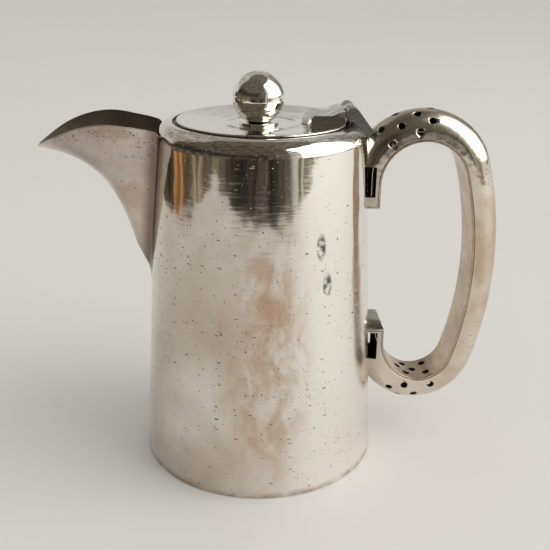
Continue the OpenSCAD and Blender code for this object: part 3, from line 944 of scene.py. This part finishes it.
def d_outline(skin):
    """Half-width of the handle's section, smaller by skin, and the half-round back on its
    straight sides, as an outline."""
    half = HANDLE_W / 2 - skin
    steps = 48
    back = []
    for k in range(steps + 1):
        s, c = math.sin(math.pi * k / steps), math.cos(math.pi * k / steps)
        back.append((Vector((HANDLE_SIDE + half * s, -half * c)), Vector((s, -c))))
    return half, back


def shell_outline():
    """U-shaped section of the handle's outer shell, anticlockwise, with small rounded edges, and
    the range of its points that start a face of the hollow."""
    seam = HANDLE_SHEET + 0.12
    half, back = d_outline(0)
    inner, hollow = d_outline(HANDLE_SHEET)
    edge = 0.22
    quarter = [(math.cos(math.pi / 2 * k / 3), math.sin(math.pi / 2 * k / 3)) for k in range(4)]
    outline = []
    for c, s in quarter:
        n = Vector((-c, -s))
        outline.append((Vector((seam + edge, -half + edge)) + edge * n, n))
    outline += back
    for c, s in quarter:
        n = Vector((-s, c))
        outline.append((Vector((seam + edge, half - edge)) + edge * n, n))
    outer = len(outline)
    outline.append((Vector((seam, inner)), Vector((0, -1))))
    outline += [(p, -n) for p, n in reversed(hollow)]
    outline.append((Vector((seam, -inner)), Vector((0, 1))))
    return outline, range(outer, len(outline) - 1)


def at_bend(bend, angle):
    """Point on the flat face at an angle round a bend, with the outward direction."""
    a = math.radians(angle)
    way = Vector((math.cos(a), math.sin(a)))
    return bend_centres()[0][bend] + BEND_R[bend] * way, way


def shell_vent(bend, angle, elevation, side):
    """Cutter for a vent in the shell, elevation degrees up from the side towards the back."""
    point, out = at_bend(bend, angle)
    e = math.radians(elevation)
    centre = point + out * HANDLE_SIDE
    way = Vector((out.x * math.sin(e), side * math.cos(e), out.y * math.sin(e)))
    start = Vector((centre.x, 0, centre.y)) + way * HANDLE_W / 2
    return drill(start, way, 4, VENT_D / 2, 0.2)


def strip_vent(bend, angle, y):
    """Cutter for a vent in the inner strip."""
    point, out = at_bend(bend, angle)
    return drill((point.x, y, point.y), (-out.x, 0, -out.y), 3, VENT_D / 2, 0.15)


def ride_handle(piece, node):
    """Puts a piece of the handle in the place of its CAD node."""
    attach(piece, "pot")
    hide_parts(node)


def make_shell(silver, dark):
    """Outer shell of the handle, with painted shade inside it and on the walls of its vents and slots."""
    outline, hollow = shell_outline()
    shell = sweep("handle_shell", outline, handle_path(), hollow)
    shell.data.materials.append(silver)
    shell.data.materials.append(dark)
    tools = [block(*UPPER_SLOT), block(*LOWER_SLOT)]
    for bend, angle in WIDE_COLUMNS:
        tools += [shell_vent(bend, angle, e, side) for side in (-1, 1) for e in (4, 58)]
    for bend, angle in NARROW_COLUMNS:
        tools += [shell_vent(bend, angle, 34, side) for side in (-1, 1)]
        tools.append(shell_vent(bend, angle, 90, 1))
    cut(shell, tools, dark)
    cut(shell, [body_core()], cut_finish(silver))
    ride_handle(shell, "handle_outer_shell")


def make_strip(tan, dark):
    """Flat strip that closes the inner side of the loop, with its vents, whose walls get painted shade."""
    half = HANDLE_W / 2 - 0.06
    outline = rounded([(0, -half, 0.3), (HANDLE_SHEET, -half, 0.12),
                       (HANDLE_SHEET, half, 0.12), (0, half, 0.3)], 3)
    strip = sweep("handle_strip", outline, handle_path())
    strip.data.materials.append(tan)
    tools = [strip_vent(bend, angle, y) for bend, angle in WIDE_COLUMNS for y in (-4, 4)]
    tools += [strip_vent(bend, angle, 0) for bend, angle in NARROW_COLUMNS]
    cut(strip, tools, dark)
    ride_handle(strip, "handle_inner_strip")


def d_ring(flat_x, half, side, z):
    """D-shaped loop of a foot at height z: flat face towards +X, round back towards the body."""
    steps = 24
    ring = [Vector((flat_x, half, z)), Vector((flat_x - side, half, z))]
    for k in range(1, steps):
        a = math.pi * k / steps
        ring.append(Vector((flat_x - side - half * math.sin(a), half * math.cos(a), z)))
    return ring + [Vector((flat_x - side, -half, z)), Vector((flat_x, -half, z))]


def make_lower_cap(metal):
    """Domed cap on the end of the lower foot."""
    low, high = cad_span("handle_lower_end_cap")
    levels = 10
    rings = []
    for k in range(levels + 1):
        a = math.pi / 2 * k / levels
        inset = 1 - math.cos(a)
        rings.append(d_ring(high.x - CAP_DOME_X * inset, HANDLE_W / 2 - CAP_DOME_Y * inset,
                            HANDLE_SIDE - CAP_DOME_X * inset * 0.6, low.z + (high.z - low.z) * math.sin(a)))
    size = len(rings[0])
    vertices = [p for ring in rings for p in ring]
    faces = [(k * size + j, k * size + (j + 1) % size, (k + 1) * size + (j + 1) % size, (k + 1) * size + j)
             for k in range(levels) for j in range(size)]
    faces += [tuple(reversed(range(size))), tuple(range(levels * size, (levels + 1) * size))]
    cap = new_object("handle_end_cap", vertices, faces)
    soften(cap, 0.35, 40)
    applied(cap)
    cap.data.materials.append(metal)
    cut(cap, [body_core()], cut_finish(metal))
    ride_handle(cap, "handle_lower_end_cap")


def body_core():
    """Cutter with the body's outer surface, for what is soldered to the wall."""
    clear = 0.02
    return lathe("core", rounded([(BASE_R + clear, -5, 0.1), (body_r(150) + clear, 150, 0.1),
                                  (0.5, 150, 0.1), (0.5, -5, 0.1)]), 320)


def cut_finish(material):
    """The same finish under another name, so that a cut face can be told apart."""
    found = material.copy()
    found.name = material.name + "_cut"
    return found


# ---------------------------------------------------------------- lid and finial
def dish_z(r):
    """Height of the lid's top at radius r: a shallow dish, with the ripple round the finial."""
    dish_r = LID_R - 0.8
    sphere = (dish_r ** 2 + DISH_DEPTH ** 2) / (2 * DISH_DEPTH)
    z = LID_TOP_Z - DISH_DEPTH + sphere - math.sqrt(sphere ** 2 - min(r, dish_r) ** 2)
    return z + sum(height * math.exp(-((r - middle) / width) ** 2) for height, middle, width in RIPPLE)


def lid_outline():
    """Dished plate: ripple, flat rim with a rounded edge, and a plain underside."""
    edge = 0.4
    top = []
    for k in range(121):
        r = LID_R - edge - (LID_R - edge - LID_HOLE_R) * k / 120
        slope = (dish_z(r + 0.02) - dish_z(r - 0.02)) / 0.04
        top.append((Vector((r, dish_z(r))), Vector((-slope, 1)).normalized()))
    low_z = LID_TOP_Z - LID_PLATE_T
    rim = []
    for k in range(9):
        a = -math.pi / 2 + math.pi * k / 8
        n = Vector((math.cos(a), math.sin(a)))
        z = low_z + edge if a < 0 else LID_TOP_Z - edge
        rim.append((Vector((LID_R - edge, z)) + edge * n, n))
    sphere = (LID_UNDER_R ** 2 + DISH_DEPTH ** 2) / (2 * DISH_DEPTH)
    under = [(Vector((LID_HOLE_R, low_z - DISH_DEPTH)), Vector((0, -1)))]
    for k in range(1, 31):
        r = LID_HOLE_R + (LID_UNDER_R - 0.1 - LID_HOLE_R) * k / 30
        z = low_z - DISH_DEPTH + sphere - math.sqrt(sphere ** 2 - r * r)
        under.append((Vector((r, z)), Vector((r / sphere, -1)).normalized()))
    return under + rim + top


def make_lid(silver):
    lid = lathe("lid_dish", lid_outline(), 256, centre=(LID_X, 0))
    lid.data.materials.append(silver)
    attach(lid, "lid")
    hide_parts("lid_plate")


def make_collar(silver):
    """Thin disc under the ball."""
    low, high = cad_span("finial_collar")
    r = (high.x - low.x) / 2
    outline = rounded([(STUD_HOLE_R, low.z, 0.05), (r, low.z, 0.1), (r - 0.3, high.z, 0.3),
                       (STUD_HOLE_R, high.z, 0.05)])
    collar = lathe("collar", outline, 128, centre=(FINIAL_X, 0))
    collar.data.materials.append(silver)
    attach(collar, "lid")
    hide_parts("finial_collar")


def make_ball(silver):
    """Ball with a flat foot and the stud's hole."""
    foot = BALL_LOW.z
    start = -math.asin((BALL_Z - foot) / BALL_R)
    outline = [(Vector((STUD_HOLE_R, foot)), Vector((0, -1))),
               (Vector((BALL_R * math.cos(start) - 0.3, foot)), Vector((0, -1)))]
    for k in range(97):
        a = start + 0.01 + (math.pi / 2 - 0.002 - start - 0.01) * k / 96
        n = Vector((math.cos(a), math.sin(a)))
        outline.append((Vector((0, BALL_Z)) + BALL_R * n, n))
    outline.append((Vector((0.015, BALL_Z + BALL_R - 0.5)), Vector((0, 1))))
    outline.append((Vector((STUD_HOLE_R, BALL_Z - 2)), Vector((0, 1))))
    ball = lathe("ball", outline, 160, centre=(FINIAL_X, 0))
    ball.data.materials.append(silver)
    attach(ball, "lid")
    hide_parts("finial_ball")


# ---------------------------------------------------------------- carried-over CAD nodes
def dress(node, material, bevel=0.0):
    """CAD node with its own material, and edges softened by bevel millimetres."""
    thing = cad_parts[node]
    thing.data.materials.clear()
    thing.data.materials.append(material)
    if bevel:
        weld = thing.modifiers.new("weld", "WELD")
        weld.merge_threshold = 0.002 * MM
        merge = thing.modifiers.new("merge", "DECIMATE")
        merge.decimate_type = "DISSOLVE"
        merge.angle_limit = math.radians(1.0)
        soften(thing, bevel, 35)


# ---------------------------------------------------------------- build
make_camera()
make_world()
make_stage()
make_key_light()
lid_silver = silver_lid()
handle_silver = silver_handle()
# Near-black painted shade inside the hollow handle and on the walls of its vents and slots
hollow = stained("hollow_painted_shade", rgb(0.05, 0.045, 0.04), rgb(0.12, 0.10, 0.08), 0.4, 0.6)
pot_inside = stained("stained_inside", rgb(0.30, 0.25, 0.19), rgb(0.16, 0.12, 0.09), 0.35, 0.5, 60)
spout_inside = stained("spout_inside", rgb(0.42, 0.37, 0.31), rgb(0.22, 0.18, 0.15), 0.25, 0.42, 70)
hinge_metal = stained("hinge_metal", rgb(0.42, 0.43, 0.40), rgb(0.15, 0.16, 0.15), 0.22, 0.40, 150)
leaf_metal = stained("leaf_metal", rgb(0.80, 0.78, 0.72), rgb(0.44, 0.43, 0.38), 0.12, 0.28, 130)
strip_tan = stained("strip_tan", rgb(0.62, 0.50, 0.39), rgb(0.44, 0.34, 0.25), 0.12, 0.24, 70)
cap_metal = stained("cap_metal", rgb(0.56, 0.54, 0.46), rgb(0.36, 0.34, 0.29), 0.16, 0.30, 130)
underside = stained("worn_underside", rgb(0.62, 0.60, 0.56), rgb(0.42, 0.39, 0.34), 0.25, 0.4, 80)

make_body(silver_body(), pot_inside)
make_spout(silver_spout(), spout_inside)
make_shell(handle_silver, hollow)
make_strip(strip_tan, hollow)
make_lower_cap(cap_metal)
make_lid(lid_silver)
make_collar(lid_silver)
make_ball(silver_ball())
dress("base_plate", underside)
dress("mouth_ring", pot_inside)
dress("lid_skirt", pot_inside)
dress("handle_upper_end_plate", handle_silver, 0.2)
dress("hinge_bracket", hinge_metal, 0.3)
dress("hinge_pin", hinge_metal)
dress("hinge_lid_leaf", leaf_metal, 0.3)
dress("finial_stud", pot_inside)
dress("finial_washer", pot_inside, 0.1)
dress("finial_nut", pot_inside, 0.2)

bpy.context.scene.view_settings.view_transform = "Standard"
